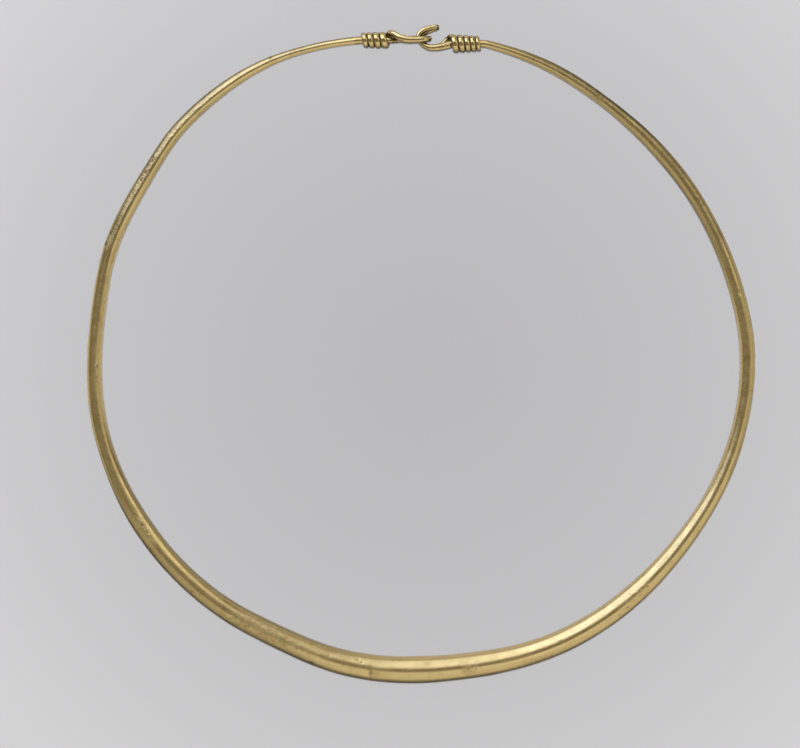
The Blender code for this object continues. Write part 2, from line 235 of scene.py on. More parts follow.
# How far hammering leaves the bar off its round, as the length of the waves and their height, and the same
# for the wires and for the grain of the roughened patches
HAMMERING = ((0.021, 0.000034), (0.0085, 0.000012), (0.0034, 0.000004))
WIRE_WAVE = 0.0028
WIRE_UNEVENNESS = 0.000007
WIRE_SEED = 21
GRAIN_WAVE = 0.0019
GRAIN_DEPTH = 0.000085
GRAIN_SEED = 11

# The hook's tip: how far its grain reaches, how far past the middle line it is cut off, how much of what
# stands past the cut is pressed back, and how far back and how much the dirt on it goes
TIP_GRAIN_WAVE = 0.0007
TIP_GRAIN_DEPTH = 0.000050
TIP_SEED = 22
TIP_LENGTH = 0.0022
TIP_CUT = 0.0002
TIP_PRESSED = 0.85
TIP_DARK = 0.0007
TIP_DIRT = 0.95

# How far from the next stretch a groove holds dirt, and how deep a pit is that is full of it
DIRT_REACH = 0.00055
PIT_FULL_OF_DIRT = 0.00019

# How much less rough the polished wires are, and what share of that the bar has: degrees from the front and
# the share, which is below zero where the bar is rougher
WIRE_POLISH = 0.15
BAR_POLISH = (
    (-168, 0.3), (-140, 0.35), (-112, 0.25), (-90, 0.0), (-45, -0.1), (0, -0.35), (40, -0.12), (75, 0.0),
    (168, 0.1),
)

# Painted shade on the outer and on the inner flank, a darker colour where the surface faces sideways and
# down:
# degrees from the front, how much of it there is, and how far up the surface faces where it begins. It is
# full where it faces lower by the step that follows.
PAINTED_SHADE_STEP = 0.30
PAINTED_SHADE_OUTER = (
    (-168, 0.50, 1.04), (-160, 0.60, 1.06), (-150, 0.55, 1.06), (-142, 0.68, 1.08), (-118, 0.46, 1.04),
    (-108, 0.20, 0.95), (-98, 0.05, 0.80), (-88, 0.0, 0.70), (-76, 0.45, 0.74), (-62, 0.9, 0.84),
    (-40, 1.0, 0.86), (-20, 1.0, 0.86), (0, 1.0, 0.81), (20, 1.0, 0.80), (36, 0.95, 0.78), (54, 0.6, 0.84),
    (66, 0.45, 0.88), (90, 0.40, 0.82), (106, 0.45, 0.88), (122, 0.55, 0.92), (138, 0.95, 1.0),
    (155, 0.9, 0.92), (168, 0.6, 0.8),
)
PAINTED_SHADE_INNER = (
    (-168, 0.15, 0.7), (-150, 0.2, 0.7), (-138, 0.25, 0.7), (-120, 0.25, 0.7), (-104, 0.0, 0.7),
    (-80, 0.10, 0.8), (-73, 0.45, 0.98), (-64, 0.6, 0.80), (-40, 0.6, 0.70), (-20, 0.5, 0.7),
    (-6, 0.1, 0.7), (10, 0.0, 0.7), (92, 0.0, 0.7), (104, 0.4, 0.75), (120, 0.8, 0.72), (140, 0.5, 0.7),
    (168, 0.4, 0.7),
)

# Where the painted shade on the wires' flanks begins, by how far up the surface faces
PAINTED_SHADE_WIRES = 0.62

# Painted shade in the corners where the wires leave their windings: the place, how much of it and its reach
PAINTED_SHADE_ROOTS = (
    ((-0.0090, 0.1085, 0.0032), 0.85, 0.0019),
    ((0.0100, 0.1098, 0.0030), 0.80, 0.0014),
)

# The flat facets on each side of the ridge along the top: degrees from the front, depth as a share of the
# radius, how many degrees the ridge lies outwards off the top, and how many degrees a facet spans
FACETS = (
    (-168, 0.012, -6, 45), (-156, 0.016, -10, 50), (-142, 0.028, -17, 60), (-120, 0.028, -15, 60),
    (-108, 0.020, -9, 60), (-97, 0.006, -2, 60), (-84, 0.0, 3, 60), (-73, 0.0, 6, 60),
    (-67, 0.010, 10, 60), (-60, 0.026, 11, 60), (-48, 0.008, 3, 60), (-38, 0.003, -2, 60),
    (-20, 0.010, 0, 60), (0, 0.024, 1, 60), (20, 0.024, 1, 60), (60, 0.026, 1, 60), (76, 0.014, 0, 60),
    (92, 0.0, 0, 60), (168, 0.0, 0, 60),
)

# The photograph's frame: how wide a strip it shows, where its middle lies, and at what height
VIEW_WIDTH = 0.2770
VIEW_MIDDLE = (-0.00725, -0.00699)
VIEW_HEIGHT = 0.004
LENS = 100.0
SENSOR = 36.0

# The colours of the gold, of what lies on it, of the floor and of the room that the gold mirrors
GOLD_GREENISH = (0.78, 0.625, 0.27, 1.0)
GOLD_WARM = (0.84, 0.615, 0.29, 1.0)
GOLD_STAINED = (0.60, 0.40, 0.17, 1.0)
# The dark brown of the painted shade on the flanks and at the wires' roots, also taken by the tarnished
# patches
GOLD_PAINTED_SHADE_AND_TARNISH = (0.060, 0.041, 0.014, 1.0)
DIRT_COLOUR = (0.055, 0.032, 0.012, 1.0)
# The floor's middle and outer tones: it is painted lighter outwards, a painted light spread over the floor
FLOOR_MIDDLE = (0.590, 0.589, 0.625, 1.0)
FLOOR_OUTER_PAINTED_LIGHT = (0.815, 0.817, 0.865, 1.0)
FLOOR_OUTER_FROM = 0.19
ROOM_COLOUR = (0.205, 0.193, 0.160, 1.0)

# How rough the gold is between and on its fine lines, how much smears change that, and how much rougher the
# roughened patches and the dirt are
GOLD_ROUGHNESS = (0.24, 0.31)
SMEAR = 0.04
PATCH_ROUGHNESS = 0.18
DIRT_ROUGHNESS = 0.3

# How rough the floor is and how strongly it shines
FLOOR_ROUGHNESS = 0.85
FLOOR_SHEEN = 0.2

# A wide and a narrow range of a noise, over which a pattern goes from one end to the other
NOISE_WIDE = (0.3, 0.7)
NOISE_NARROW = (0.35, 0.65)

# How thin the painted shade and the tarnished patches get in places, how the grain breaks up the dirt, the
# range over which dirt begins to show, and how metallic the thickest dirt still is
SHADE_AND_TARNISH_THINNEST = 0.85
DIRT_GRAIN = (0.75, 1.15)
DIRT_RANGE = (0.12, 0.80)
DIRT_METAL = 0.25

# The stains: the range of their noise over which they grow, how strong they get, and how far roughened
# patches push the noise up
STAIN_RANGE = (0.53, 0.76)
STAIN_STRENGTH = 0.70
STAINS_ON_PATCHES = 0.10

# The patterns: how many repeats to a metre, and once round the bar for the lines, then how deep they go
LINE_SCALE = (60.0, 24.0, 1.0)
LINE_DEPTH = 0.000004
GRAIN_SCALE = 2400.0
GRAIN_HEIGHT = 0.000004
DRIFT_SCALE = 70.0
STREAK_SCALE = (110.0, 14.0, 1.0)
STAIN_SCALE = 260.0
SMEAR_SCALE = 320.0
PITTED_SCALE = 950.0
PITTED_DEPTH = 0.00026

# The soft boxes that the gold mirrors: name, degrees clockwise from +Y, degrees up, distance, width and
# height, brightness and tint
SOFTBOXES = (
    ("key", 325, 33, 0.62, (0.42, 0.54), 2.22, (0.60, 0.69, 1.0)),
    ("north fill", 358, 38, 0.62, (0.24, 0.60), 1.05, (0.86, 0.91, 1.0)),
    ("north east fill", 50, 46, 0.62, (0.30, 0.36), 0.84, (1.0, 1.0, 1.0)),
    ("east fill", 90, 24, 0.62, (0.34, 0.44), 0.28, (1.0, 1.0, 1.0)),
    ("south east fill", 133, 30, 0.62, (0.52, 0.60), 0.47, (1.0, 1.0, 1.0)),
    ("south fill", 181, 35, 0.62, (0.48, 0.68), 0.50, (1.0, 1.0, 1.0)),
    ("south west fill", 226, 32, 0.62, (0.34, 0.50), 0.27, (1.0, 1.0, 1.0)),
)

# The lamp above that lights the floor and isn't mirrored: its place, width and power in watts
FLOOR_LAMP = ((-0.01, 0.03, 1.0), 0.12, 6.4)

# The side of the floor
FLOOR_SIZE = 12.0

# How far in from the ring's far side the closure reaches, and how many stations are measured in one go
CLOSURE_DEPTH = 0.012
GAP_CHUNK = 64

# The pattern's step from ring to ring over a cut end, and the least length that a way is divided by
END_STEP = 0.0001
SPREAD_LEAST = 0.01

# The pattern's map, and the attributes that the gold reads
PATTERN_MAP = "along and round"
DIRT = "dirt"
ROUGH = "rough"
# The attribute of the painted shade on the flanks and in the corners, together with the tarnished patches
PAINTED_SHADE_AND_TARNISH = "shade_and_tarnish"
POLISH = "polish"


def winding_radius(core, wire):
    """How far a wound wire's middle lies from its shank's: half of both thicknesses, and the clearance."""
    return core / 2 + wire / 2 + WINDING_CLEARANCE


LEAN = np.radians(PINCH_LEAN)
PINCH = HOOK_WIRE + STRAND_CLEARANCE
PINCH_DROP = PINCH * np.cos(LEAN)
PINCH_SHIFT = PINCH * np.sin(LEAN)
EYE_RADIUS = PINCH_DROP / 2 + HOOK_WIRE / 2 + LINK_CLEARANCE + EYE_WIRE / 2
LINK_Z = EYE_RADIUS + EYE_WIRE / 2 + TABLE_CLEARANCE
EYE_SIDE = winding_radius(EYE_ROOT, EYE_WINDING_WIRE)
HOOK_SIDE = winding_radius(HOOK_ROOT, HOOK_WINDING_WIRE)
FRONT_Z = FRONT_THICKNESS / 2 - WORN_DEPTH
FAR_Y = RING_DEPTH / 2
EYE_AXIS = np.array([-EYE_WINDING_X, FAR_Y - EYE_WINDING_IN, EYE_SIDE + EYE_WINDING_WIRE / 2])
HOOK_AXIS = np.array([HOOK_WINDING_X, FAR_Y - HOOK_WINDING_IN, HOOK_SIDE + HOOK_WINDING_WIRE / 2])


def smooth(knots, values, at):
    """Reads a smooth curve through values: a cubic on each span, with its slopes from the neighbours."""
    knots = np.asarray(knots, float)
    values = np.asarray(values, float)
    slopes = np.gradient(values, knots, axis=0)
    span = np.clip(np.searchsorted(knots, at, side="right") - 1, 0, len(knots) - 2)
    length = knots[span + 1] - knots[span]
    t = (at - knots[span]) / length
    if values.ndim > 1:
        length = length[:, None]
        t = t[:, None]
    return (
        values[span] * (1 + 2 * t) * (1 - t) ** 2
        + values[span + 1] * t * t * (3 - 2 * t)
        + slopes[span] * length * t * (1 - t) ** 2
        - slopes[span + 1] * length * t * t * (1 - t)
    )


def unit(vectors):
    """Each vector divided by its own length."""
    return vectors / np.linalg.norm(vectors, axis=-1, keepdims=True)


def reach_along(points):
    """The length of the line from its first point to each of its points."""
    return np.concatenate([[0.0], np.cumsum(np.linalg.norm(np.diff(points, axis=0), axis=1))])


def through(points, steps, before, after):
    """Follows a smooth curve through points, `steps` stations to a span, and leaves out its two ends.

    The points before and after are on the neighbouring stretches and only set the directions at the ends.
    """
    line = np.vstack([before, points, after])
    knots = reach_along(line)
    at = [np.linspace(a, b, steps + 1)[:-1] for a, b in zip(knots[1:-2], knots[2:-1])]
    return smooth(knots, line, np.concatenate(at)[1:])


def spread_evenly(points, sizes):
    """Spreads a few sizes evenly along a run of points, by the length of the run."""
    reach = reach_along(points)
    return np.interp(reach / reach[-1], np.linspace(0.0, 1.0, len(sizes)), sizes)


def winding(axis, side, turns, core, wire, spread, clearance):
    """Winds a wire round a straight shank, right-handed, away from the closure.

    After t turns the wire lies at the angle 2 pi t round the shank, and has moved on by the sum of its
    own widths and the clearance between turns. core and wire are the thicknesses at the two ends, and
    turns are the first and last values of t.
    """
    t = np.linspace(*turns, round((turns[1] - turns[0]) * STATIONS_A_TURN) + 1)
    wire_here = wire[0] + (wire[1] - wire[0]) * t / turns[1]
    mean_width = spread * (wire[0] + wire_here) / 2
    shift = t * (mean_width + clearance)
    core_here = core[0] + (core[1] - core[0]) * shift / shift[-1]
    radius = winding_radius(core_here, wire_here)
    angle = side * 2 * np.pi * t
    offset = np.column_stack([side * shift, radius * np.cos(angle), radius * np.sin(angle)])
    return axis + offset, wire_here


def shank(axis, side, length, core):
    """The straight shank inside a winding, from its closure end outwards, in even steps and thicknesses."""
    share = np.linspace(0.0, 1.0, SHANK_STATIONS)
    points = axis + side * length * np.outer(share, (1.0, 0.0, 0.0))
    return points, core[0] + (core[1] - core[0]) * share


def hoop():
    """The bar: an ellipse that wanders by hand, from the left shank round the front to the right one.

    Its middle rises evenly with Y, from half the front's thickness to the height of the winding's axis.
    """
    degrees = np.linspace(-SHANK_ANGLE, SHANK_ANGLE, HOOP_STATIONS)
    wander = smooth(*zip(*WANDER), degrees) * HAND_BEND
    swell = smooth(*zip(*SWELL), degrees)
    angle = np.radians(degrees)
    a, b = RING_WIDTH / 2, RING_DEPTH / 2
    radius = a * b / np.hypot(b * np.sin(angle), a * np.cos(angle)) + wander
    x, y = radius * np.sin(angle), -radius * np.cos(angle)
    far_z = np.where(x < 0, EYE_AXIS[2], HOOK_AXIS[2])
    z = FRONT_Z + (far_z - FRONT_Z) * (y + b) / (2 * b)
    thickness = np.interp(swell, (-1.0, 0.0, 1.0), (SHANK_THICKNESS, SIDE_THICKNESS, FRONT_THICKNESS))
    return np.column_stack([x, y, z]), thickness, degrees


def eye_route():
    """The eye, from where the wire leaves its winding, over the top, round the end and back below.

    The points are shares of the eye's length, of the winding's radius across, and of the rise or fall
    from the shank to the strand.
    """
    high, low = LINK_Z + EYE_RADIUS, LINK_Z - EYE_RADIUS
    start_x, start_y, start_z = EYE_AXIS
    end_x = EYE_REACH - EYE_RADIUS
    over = [
        (0.04, 1.14, 0.31), (0.15, 0.88, 0.66), (0.29, 0.38, 0.88), (0.44, 0.0, 0.98), (0.60, -0.14, 1.0),
        (0.80, -0.14, 1.0),
    ]
    under = [(0.74, 0.44, 1.0), (0.50, 0.28, 0.78), (0.26, 0.08, 0.36), (0.08, 0.0, 0.05)]
    route = [(x, y, start_z + rise * (high - start_z)) for x, y, rise in over]
    for turn in np.radians((0, 30, 60, 90, 120, 150, 180)):
        x = 1.0 + EYE_RADIUS * np.sin(turn) / (end_x - start_x)
        route.append((x, EYE_LOOP_MOVE * turn / np.pi + EYE_LOOP_FROM, LINK_Z + EYE_RADIUS * np.cos(turn)))
    route += [(x, y, start_z + fall * (low - start_z)) for x, y, fall in under]
    return np.array(route) * (end_x - start_x, EYE_SIDE, 1.0) + (start_x, start_y, 0.0)


def hook_route():
    """The hook: the upper strand from the shank round the bend to the tip, and the lower one back again.

    The points are shares of the hook's length or of its arm's, of its mouth across, and of the rise from
    the shank. The lower strand is pinched against the upper one and leans to the inner side, by less and
    less along the arm. Home is the way back to the winding: shares of the hook's length, then of the
    winding's radius across and up from the shank, then of the fall to the lower strand. Returns the points
    and which one is the tip's nose.
    """
    start_x, start_y, start_z = HOOK_AXIS
    length = start_x + HOOK_REACH
    low_y = start_y - SHANK_ACROSS * HOOK_MOUTH
    high = LINK_Z + PINCH_DROP / 2
    root = [
        (0.84, 0.125, 0.34), (0.67, 0.05, 0.78), (0.50, 0.005, 1.08), (0.345, 0.0, 1.16),
        (0.21, 0.075, 1.08),
    ]
    bend = [(0.095, 0.21, 1.0), (0.022, 0.36, 1.0), (0.0, 0.525, 1.0), (0.038, 0.675, 1.0)]
    arm = [(0.24, 0.805, 1.0), (0.52, 0.905, 1.0), (0.79, 0.965, 1.0), (1.0, 0.99, 1.0)]
    upper = np.array(root + bend + arm)
    upper[: len(root + bend), 0] *= length
    upper[len(root + bend):, 0] *= HOOK_ARM
    upper = upper * (1.0, HOOK_MOUTH, high - start_z) + (-HOOK_REACH, low_y, start_z)

    ahead = unit(np.gradient(upper[:, :2], axis=0))
    inward = np.column_stack([ahead[:, 1], -ahead[:, 0]])
    lower = upper - (0.0, 0.0, PINCH_DROP)
    lean = np.interp(upper[:, 0], (EASING_FROM, HOOK_ARM), (1.0, LEAN_AT_TIP))
    lower[:, :2] += PINCH_SHIFT * inward * lean[:, None]
    lower = lower[len(root):][::-1]

    middle, half = (upper[-1] + lower[0]) / 2, (upper[-1] - lower[0]) / 2
    nose = np.append(ahead[-1], 0.0) * PINCH / 2
    tip_turns = np.radians((30, 60, 90, 120, 150))
    tip = [middle + half * np.cos(turn) + nose * np.sin(turn) for turn in tip_turns]

    fall = LINK_Z - PINCH_DROP / 2 - start_z
    home = [
        (0.24, -0.44, -0.05, 1.0), (0.38, -0.46, -0.10, 1.0), (0.52, -0.38, -0.16, 1.0),
        (0.65, -0.14, -0.26, 0.9), (0.76, 0.34, -0.38, 0.6), (0.86, 0.80, -0.46, 0.2),
        (0.94, 1.07, -0.16, 0.0),
    ]
    home = [
        (x * length - HOOK_REACH, start_y + y * HOOK_SIDE, start_z + z * HOOK_SIDE + share * fall)
        for x, y, z, share in home
    ]
    return np.vstack([upper, tip, lower, home]), len(upper) + len(tip) // 2


def wires_and_bar():
    """The middle line in three runs: the eye's wire, the bar and the hook's wire.

    Each run has points, thickness, winding spread and breadth. The wires' runs take in the shanks that they
    are wound round, and the hook's tip is given as a point and the way that it faces.
    """
    eye_core, eye_wire = (EYE_ROOT, SHANK_THICKNESS), (EYE_WINDING_WIRE, EYE_WIRE_END)
    hook_core, hook_wire = (HOOK_ROOT, SHANK_THICKNESS), (HOOK_WINDING_WIRE, HOOK_WIRE_END)
    hook_turns = (HOOK_LEAD_TURN, HOOK_TURNS)
    eye_coil, eye_coil_size = winding(
        EYE_AXIS, -1, (0.0, EYE_TURNS), eye_core, eye_wire, EYE_WINDING_SPREAD, EYE_TURN_CLEARANCE)
    hook_coil, hook_coil_size = winding(
        HOOK_AXIS, 1, hook_turns, hook_core, hook_wire, HOOK_WINDING_SPREAD, HOOK_TURN_CLEARANCE)
    eye_shank, eye_shank_size = shank(EYE_AXIS, -1, EYE_AXIS[0] - eye_coil[-1, 0], eye_core)
    hook_shank, hook_shank_size = shank(HOOK_AXIS, 1, hook_coil[-1, 0] - HOOK_AXIS[0], hook_core)
    bar, bar_size, degrees = hoop()

    eye_points = np.vstack([eye_coil[0], eye_route(), eye_shank[0]])
    eye = through(eye_points, ROUTE_STEPS, eye_coil[1], eye_shank[1])
    eye_size = spread_evenly(eye, (EYE_WINDING_WIRE, EYE_ELBOW, EYE_WIRE, EYE_WIRE, EYE_WIRE, EYE_ROOT))
    route, nose = hook_route()
    hook_points = np.vstack([hook_shank[0], route, hook_coil[0]])
    hook = through(hook_points, ROUTE_STEPS, hook_shank[1], hook_coil[1])
    out, home = np.split(hook, [ROUTE_STEPS * (nose + 1)])
    hook_size = np.concatenate([
        spread_evenly(out, (HOOK_ROOT, HOOK_BELLY, HOOK_WIRE, HOOK_WIRE, HOOK_TIP)),
        spread_evenly(home, (HOOK_TIP, HOOK_WIRE, HOOK_WIRE, HOOK_WIRE, HOOK_WINDING_WIRE)),
    ])
    eye_neck = through(np.vstack([eye_shank[-1], bar[0]]), NECK_STEPS, eye_shank[-2], bar[1])
    hook_neck = through(np.vstack([bar[-1], hook_shank[-1]]), NECK_STEPS, bar[-2], hook_shank[-2])

    eye_run = [
        (eye_coil[::-1], eye_coil_size[::-1], EYE_WINDING_SPREAD + EYE_PRESSED, 1.0),
        (eye, eye_size, 1.0, EYE_BREADTH), (eye_shank, eye_shank_size, 1.0, 1.0),
        (eye_neck, np.full(len(eye_neck), SHANK_THICKNESS), 1.0, 1.0),
    ]
    hook_run = [
        (hook_neck, np.full(len(hook_neck), SHANK_THICKNESS), 1.0, 1.0),
        (hook_shank[::-1], hook_shank_size[::-1], 1.0, 1.0), (hook, hook_size, 1.0, HOOK_BREADTH),
        (hook_coil, hook_coil_size, HOOK_WINDING_SPREAD + HOOK_PRESSED, 1.0),
    ]
    tip_way = unit(out[-1] - (out[-1 - 2 * ROUTE_STEPS] + home[2 * ROUTE_STEPS - 1]) / 2)
    return joined(eye_run), (bar, bar_size, degrees), joined(hook_run), (out[-1], tip_way)


def joined(stretches):
    """One run from several: spread and breadth are eased over the joints by a running mean of stations."""
    points = np.vstack([p for p, *_ in stretches])
    thickness = np.concatenate([s for _, s, *_ in stretches])
    ease = 2 * ROUTE_STEPS + 1
    eased = [
        np.convolve(np.pad(values, ease // 2, mode="edge"), np.ones(ease) / ease, mode="valid")
        for values in np.vstack([np.tile(shares, (len(p), 1)) for p, _, *shares in stretches]).T
    ]
    return points, thickness, *eased


def carried(ahead, first):
    """Carries a direction from station to station without twist: its part along the line is taken off."""
    across = [first]
    for way in ahead:
        across.append(unit(across[-1] - np.dot(across[-1], way) * way))
    return np.array(across[1:])


def uneven(points, wavelength, seed):
    """A smooth unevenness of about -1 to 1: the sum of plane waves in random directions.

    Each wave is the sine of the place along its direction, and its length is the wavelength divided by a
    share near 1.
    """
    random = np.random.default_rng(seed)
    ways = unit(random.normal(size=(WAVES, 3)))
    ways *= 2 * np.pi / wavelength * random.uniform(*WAVE_SHARES, WAVES)[:, None]
    phases = random.uniform(0.0, 2 * np.pi, WAVES)
    return np.sin(points @ ways.T + phases).sum(axis=-1) / np.sqrt(WAVES)


def along_bar(table, degrees):
    """Reads each column of a table of places along the bar as a smooth curve, at every station."""
    return smooth([at for at, *_ in table], [rest for _, *rest in table], degrees).T[:, :, None]


def faceted(degrees, turn):
    """How deep the facets lie at each corner, as a share of the radius.

    It is the depth times one less the cosine of a full turn over the facet's span, which is nothing on the
    ridge and at the facet's far edge, and most half way. Further round, the bar stays round.
    """
    depth, ridge, span = along_bar(FACETS, degrees)
    off = np.degrees(turn) - 90.0 + ridge
    away = (off + 180.0) % 360.0 - 180.0
    return np.where(np.abs(away) < span, depth * (1.0 - np.cos(2 * np.pi * away / span)), 0.0)


def painted_shade_on(spokes, start):
    """How much painted shade a round stretch carries: a darker colour, most on its flanks and underside.

    It is a smooth step over how far up the outward direction faces, from the start downwards.
    """
    share = np.clip((start - spokes[:, :, 2]) / PAINTED_SHADE_STEP, 0.0, 1.0)
    return share * share * (3 - 2 * share)


def ring_of(centre, side_way, up_way, radius, turn):
    """Rounds: each ring is its centre plus radius times the cosine and the sine of turn along two ways."""
    spokes = np.cos(turn)[None, :, None] * side_way[:, None, :]
    spokes = spokes + np.sin(turn)[None, :, None] * up_way[:, None, :]
    return centre[:, None, :] + radius[:, None, None] * spokes, spokes


def turns_round(sides):
    """Angles round a section from its underside, where the pattern's seam lies: 0 outwards, up at 90."""
    return np.linspace(0.0, 2 * np.pi, sides, endpoint=False) - np.pi / 2


def bar_marks(reach, degrees, radius, turn):
    """How deep the marks and pits go at each corner of the bar, how rough it is there, and how tarnished,
    which is partly painted shade.

    A mark is a bell curve along and across itself, with a low burr where the bell has fallen off. A patch is
    a flatter bell of fourth powers without a burr.
    """
    depth = np.zeros((len(reach), len(turn)))
    rough = np.zeros_like(depth)
    tarnish_and_shade = np.zeros_like(depth)
    random = np.random.default_rng(PIT_SEED)
    pits = [
        (angle, across * side, size, size, deep, 0.0)
        for angle, across, side, size, deep in zip(
            random.uniform(*PIT_RANGE, PIT_COUNT), random.uniform(-PIT_ACROSS, PIT_ACROSS, PIT_COUNT),
            random.choice((1.0, -1.0), PIT_COUNT), random.uniform(*PIT_SIZES, PIT_COUNT),
            random.uniform(*PIT_DEPTHS, PIT_COUNT))
    ]
    below = np.concatenate([np.zeros(len(MARKS), bool), random.random(PIT_COUNT) < PITS_BELOW])
    for (angle, across, long, wide, deep, slant), under in zip([*MARKS, *pits], below):
        room = MARK_ROOM * max(long, wide)
        near, along, round_it = beside(reach, degrees, radius, turn, angle, across, under, room)
        tilt = np.radians(slant)
        a = (along * np.cos(tilt) + round_it * np.sin(tilt)) / long
        b = (round_it * np.cos(tilt) - along * np.sin(tilt)) / wide
        distance = np.hypot(a, b)
        burr = BURR_HEIGHT * np.exp(-(((distance - BURR_PLACE) / BURR_WIDTH) ** 2))
        depth[near] += deep * (np.exp(-distance**2) - burr)
    for angle, across, long, wide, how_rough, how_tarnished_and_shaded in PATCHES:
        room = PATCH_ROOM * long
        near, along, round_it = beside(reach, degrees, radius, turn, angle, across, False, room)
        bell = np.exp(-((along / long) ** 4) - (round_it / wide) ** 4)
        rough[near] = np.maximum(rough[near], how_rough * bell)
        # The tarnished patches are partly painted shade, which dims the gold's reflection there
        tarnish_and_shade[near] = np.maximum(tarnish_and_shade[near], how_tarnished_and_shaded * bell)
    return depth, rough, tarnish_and_shade


def beside(reach, degrees, radius, turn, angle, across, under, room):
    """The stations within room of a mark, and how far each corner there lies along and round from it."""
    along = reach - np.interp(angle, degrees, reach)
    near = np.abs(along) < room
    place = -np.arccos(across) if under else np.arccos(across)
    away = (turn - place + np.pi) % (2 * np.pi) - np.pi
    return near, along[near][:, None], radius[near][:, None] * away[None, :]


def bar_rings(points, thickness, degrees):
    """The rings of the bar: rounds, faceted, hammered and marked, and worn flat where they meet the floor.

    Each corner lies in from its round by the sum of these depths. Returns the rings, the dirt, the roughness
    and the painted shade on the flanks, taken together with the tarnished patches.
    """
    ahead = unit(np.gradient(points, axis=0))
    outward = unit(np.cross(ahead, (0.0, 0.0, 1.0)))
    upward = np.cross(outward, ahead)
    turn = turns_round(BAR_SIDES)
    radius = thickness / 2
    rings, spokes = ring_of(points, outward, upward, radius, turn)
    reach = reach_along(points)
    depth, rough, tarnish_and_shade = bar_marks(reach, degrees, radius, turn)
    dirt = np.clip(depth / PIT_FULL_OF_DIRT, 0.0, 1.0)
    for seed, (wavelength, height) in enumerate(HAMMERING):
        depth += height * uneven(rings, wavelength, seed)
    depth += rough * GRAIN_DEPTH * np.abs(uneven(rings, GRAIN_WAVE, GRAIN_SEED))
    depth += radius[:, None] * faceted(degrees, turn)
    rings = rings - depth[:, :, None] * spokes
    rings[:, :, 2] = np.maximum(rings[:, :, 2], 0.0)
    # Painted shade: darker where the bar's flanks and underside face sideways and down, joined with the
    # tarnished patches
    outer, inner = along_bar(PAINTED_SHADE_OUTER, degrees), along_bar(PAINTED_SHADE_INNER, degrees)
    left, start = np.where(np.cos(turn) > 0.0, outer, inner)
    return rings, dirt, rough, np.maximum(painted_shade_on(spokes, start) * np.clip(left, 0.0, 1.0), tarnish_and_shade)


def wire_rings(run, first_way, order, tip, tip_way):
    """The rings of a wire: rounds, slightly uneven, and grainy at the tip.

    A strand's round is stretched sideways by its breadth. A turn's is stretched along the shank by its
    spread, and swells by the square of the sine of twice the angle, which fills out its four corners.
    What stands past the tip's cut is pressed back along the tip's way to a nearly flat end, and the dirt
    there grows evenly over TIP_DARK up to the tip. The painted shade is most on the flanks and in the
    corners at the wires' roots.
    The order is 1 where the run leads away from the bar and -1 where it leads towards it.
    """
    points, thickness, spread, breadth = run
    ahead = unit(np.gradient(points, axis=0))
    outward = carried(ahead[::order], first_way)[::order]
    upward = np.cross(outward, ahead)
    turn = turns_round(WIRE_SIDES)
    rings, spokes = ring_of(points, outward * breadth[:, None], upward, thickness / 2, turn)
    wide = np.array([1.0, 0.0, 0.0]) - ahead[:, :1] * ahead
    wide /= np.maximum(np.linalg.norm(wide, axis=1, keepdims=True), SPREAD_LEAST)
    offset = rings - points[:, None, :]
    along_wide = np.einsum("ijk,ik->ij", offset, wide)
    level = np.clip((2 * along_wide / thickness[:, None]) ** 2, 0.0, 1.0)
    wound = np.clip((spread - 1.0) / (HOOK_WINDING_SPREAD + HOOK_PRESSED - 1.0), 0.0, 1.0)
    swell = TURN_FULLNESS * wound[:, None] * 4 * level * (1.0 - level)
    rings = rings + swell[:, :, None] * offset
    rings = rings + (along_wide * (spread - 1.0)[:, None])[:, :, None] * wide[:, None, :]
    from_tip = np.linalg.norm(rings - tip, axis=2)
    ahead_of_tip = np.where(from_tip < TIP_LENGTH, (rings - tip) @ tip_way, -TIP_DARK)
    tip_dirt = TIP_DIRT * np.clip(ahead_of_tip / TIP_DARK + 1.0, 0.0, 1.0)
    past = np.maximum(ahead_of_tip - TIP_CUT, 0.0)
    rings = rings - TIP_PRESSED * past[:, :, None] * tip_way
    rough = np.exp(-((from_tip / TIP_LENGTH) ** 2))
    depth = WIRE_UNEVENNESS * uneven(rings, WIRE_WAVE, WIRE_SEED)
    depth += rough * TIP_GRAIN_DEPTH * uneven(rings, TIP_GRAIN_WAVE, TIP_SEED)
    # Painted shade on the wires' flanks and underside, and in the corners at their roots
    shade_and_tarnish = painted_shade_on(spokes, PAINTED_SHADE_WIRES)
    for place, share, far in PAINTED_SHADE_ROOTS:
        shade_and_tarnish = np.maximum(shade_and_tarnish, share * np.exp(-((np.linalg.norm(rings - place, axis=2) / far) ** 2)))
    return rings - depth[:, :, None] * spokes, ahead, rough, shade_and_tarnish, tip_dirt


def rounded_end(ring, ahead):
    """Closing rings for a cut wire, like a dome: each shrinks by a cosine and moves on by a sine."""
    centre = ring.mean(axis=0)
    radius = np.linalg.norm(ring - centre, axis=1).mean()
    turn = np.radians(np.linspace(0.0, DOME_TURN, END_RINGS + 1))[1:]
    shrink = np.cos(turn)[:, None, None]
    move = (np.sin(turn) * radius * DOME_HEIGHT)[:, None, None] * ahead
    return centre + (ring - centre)[None] * shrink + move


